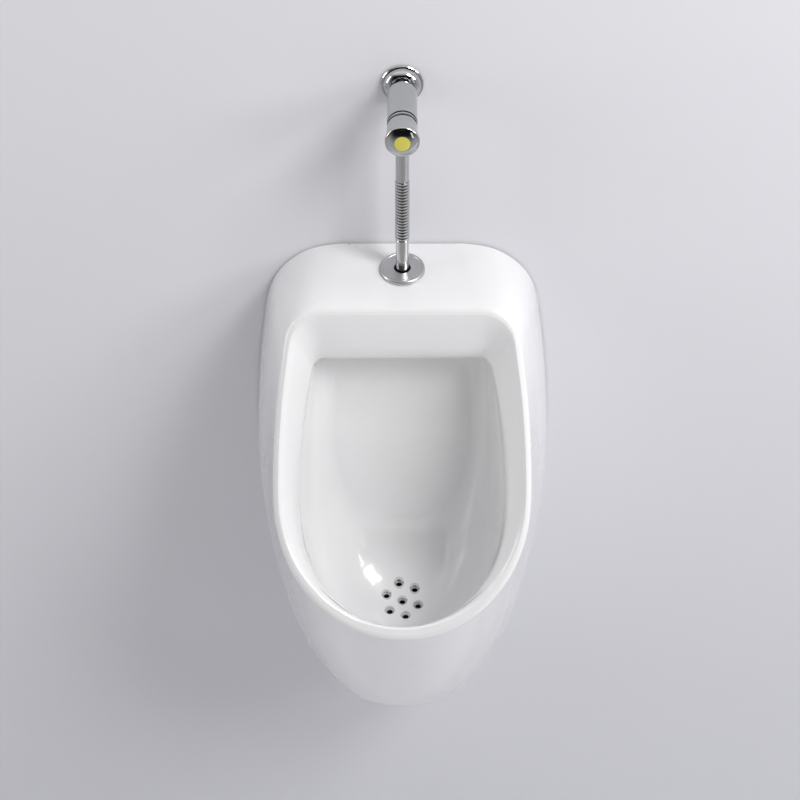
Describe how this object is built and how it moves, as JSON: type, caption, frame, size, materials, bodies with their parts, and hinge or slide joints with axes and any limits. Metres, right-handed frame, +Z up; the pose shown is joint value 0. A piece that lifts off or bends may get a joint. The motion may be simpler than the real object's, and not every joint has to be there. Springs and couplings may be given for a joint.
{
  "type": "wall-hung urinal",
  "caption": "Wall-hung ceramic urinal with a sloping oval rim, strainer floor and hollow back, flushed by a self-closing push-button valve through an upright pipe.",
  "frame": {"origin": "on the wall's face, at the middle of the four screw holes of the two hanger brackets", "axes": "+Z is up, +Y goes into the wall, and the bowl opens towards -Y; +X runs along the wall, to the right for someone who faces it"},
  "size_m": [0.3753, 0.3289, 0.909],
  "materials": {
    "glaze": "gloss",
    "steel_strip": "satin",
    "liner_rubber": "matt",
    "cover_steel": "satin",
    "seal_rubber": "matt",
    "pipe_chrome": "polished",
    "valve_chrome": "polished",
    "button_chrome": "polished",
    "plain_brass": "turned",
    "filter_steel": "satin",
    "cage_plastic": "matt",
    "stem_steel": "turned",
    "spring_steel": "bright",
    "yellow_plastic": "gloss",
    "waste_plastic": "satin"
  },
  "bodies": {
    "urinal": {"ceramic_body": "glaze", "hanger_bracket_left": "steel_strip", "hanger_bracket_right": "steel_strip", "hanger_liners": "liner_rubber", "deck_cover": "cover_steel", "inlet_seal": "seal_rubber", "flush_pipe": "pipe_chrome", "pipe_gasket": "seal_rubber", "coupling_nut": "valve_chrome", "valve_body": "valve_chrome", "inlet_nipple": "plain_brass", "inlet_filter": "filter_steel", "wall_flange": "valve_chrome", "seat_ring": "plain_brass", "seat_cage": "cage_plastic", "bonnet": "valve_chrome", "bonnet_gasket": "seal_rubber", "stem_seal": "seal_rubber", "poppet_spring": "spring_steel", "button_spring": "spring_steel", "waste_pipe": "waste_plastic", "waste_seal": "seal_rubber", "wall_ring": "seal_rubber"},
    "plunger": {"stem": "stem_steel", "poppet": "plain_brass", "poppet_washer": "seal_rubber", "dash_piston": "plain_brass", "piston_cup": "seal_rubber", "button_cap": "button_chrome", "button_disc": "yellow_plastic", "button_screw": "stem_steel"}
  },
  "joints": [
    {"name": "button_press", "type": "slide", "parent": "urinal", "child": "plunger", "axis": [0, 1, 0], "range_m": [0, 0.004], "stiffness_N_per_m": 1200, "springref_m": -0.006, "deforming": ["button_spring", "poppet_spring"]}
  ]
}
